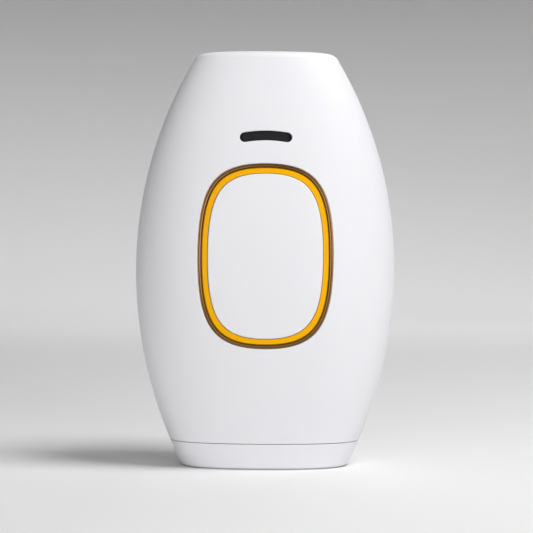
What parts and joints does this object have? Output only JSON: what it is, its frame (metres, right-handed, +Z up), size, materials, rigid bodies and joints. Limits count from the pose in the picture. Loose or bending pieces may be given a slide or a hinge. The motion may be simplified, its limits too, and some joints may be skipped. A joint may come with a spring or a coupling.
{
  "type": "ipl hair remover",
  "caption": "Handheld pulsed-light hair remover: oval two-shell casing on a base cap, lamp window on top, ringed flash button in front, fan and power button at the back.",
  "frame": {"origin": "middle of the base cap's underside, on the surface that the object stands on", "axes": "+Z up towards the treatment window; the front with the flash button faces -Y; +X is to the right seen from the front"},
  "size_m": [0.081, 0.0403, 0.1288],
  "materials": {
    "shell_white": "satin",
    "button_white": "satin",
    "bronze_trim": "satin",
    "yellow_plastic": "gloss",
    "black_plastic": "matte",
    "smoked_lens": "gloss",
    "led_body": "gloss",
    "bezel_grey": "satin",
    "filter_glass": "clear",
    "silicone": "matte",
    "polished_steel": "polished",
    "spring_steel": "satin",
    "brass_contact": "satin",
    "lamp_plastic": "matte",
    "polished_aluminium": "polished",
    "quartz_glass": "clear",
    "tungsten": "satin",
    "extruded_aluminium": "satin",
    "screw_steel": "satin",
    "circuit_board": "gloss",
    "ferrite": "matte",
    "winding_tape": "satin",
    "tinned_copper": "satin",
    "capacitor_wrap": "gloss",
    "copper_winding": "satin",
    "lead_red": "satin",
    "lead_black": "satin"
  },
  "bodies": {
    "casing": {"front_shell": "shell_white", "rear_shell": "shell_white", "base_cap": "shell_white", "trim_ring": "bronze_trim", "yellow_band": "yellow_plastic", "flash_springs": "spring_steel", "flash_switch": "black_plastic", "indicator_lens": "smoked_lens", "status_leds": "led_body", "light_baffle": "black_plastic", "window_bezel": "bezel_grey", "filter_window": "filter_glass", "window_gasket": "silicone", "sensor_spring_left": "spring_steel", "sensor_spring_right": "spring_steel", "sensor_contacts": "brass_contact", "lamp_holder": "lamp_plastic", "reflector": "polished_aluminium", "flash_tube": "quartz_glass", "tube_electrodes": "tungsten", "heat_sink": "extruded_aluminium", "thermal_cutout": "black_plastic", "lamp_screws": "screw_steel", "control_board": "circuit_board", "control_chip": "black_plastic", "control_screws": "screw_steel", "power_board": "circuit_board", "power_screws": "screw_steel", "board_header": "black_plastic", "transformer_core": "ferrite", "transformer_winding": "winding_tape", "trigger_transformer": "winding_tape", "power_transistor": "black_plastic", "transistor_tab": "tinned_copper", "filter_capacitors": "capacitor_wrap", "flash_capacitor": "extruded_aluminium", "capacitor_sleeve": "capacitor_wrap", "fan_frame": "black_plastic", "fan_bush": "brass_contact", "fan_stator": "copper_winding", "fan_screws": "screw_steel", "power_switch": "black_plastic", "key_board": "circuit_board", "key_screws": "screw_steel", "dc_jack": "black_plastic", "jack_contacts": "brass_contact", "case_screws": "screw_steel", "base_screws": "screw_steel", "lamp_leads": "lead_red", "capacitor_leads": "lead_black", "board_leads": "lead_black", "jack_leads": "lead_red"},
    "flash_key": {"flash_button": "shell_white", "flash_switch_plunger": "black_plastic"},
    "power_key": {"power_button": "button_white", "power_switch_plunger": "black_plastic"},
    "left_sensor": {"sensor_pin_left": "polished_steel"},
    "right_sensor": {"sensor_pin_right": "polished_steel"},
    "fan_wheel": {"fan_rotor": "black_plastic", "fan_shaft": "polished_steel"}
  },
  "joints": [
    {"name": "flash_press", "type": "slide", "parent": "casing", "child": "flash_key", "axis": [0, 1, 0], "range_m": [0, 0.0003], "stiffness_N_per_m": 2500, "springref_m": -0.0004, "deforming": ["flash_springs"]},
    {"name": "power_press", "type": "slide", "parent": "casing", "child": "power_key", "axis": [0, -1, 0], "range_m": [0, 0.0003], "stiffness_N_per_m": 2500, "springref_m": -0.0004},
    {"name": "left_sensor_press", "type": "slide", "parent": "casing", "child": "left_sensor", "axis": [0, 0, -1], "range_m": [0, 0.0008], "stiffness_N_per_m": 300, "springref_m": -0.001, "deforming": ["sensor_spring_left"]},
    {"name": "right_sensor_press", "type": "slide", "parent": "casing", "child": "right_sensor", "axis": [0, 0, -1], "range_m": [0, 0.0008], "stiffness_N_per_m": 300, "springref_m": -0.001, "deforming": ["sensor_spring_right"]},
    {"name": "fan_spin", "type": "hinge", "parent": "casing", "child": "fan_wheel", "pos_m": [0, 0.009, 0.036], "axis": [0, 1, 0], "continuous": true}
  ]
}
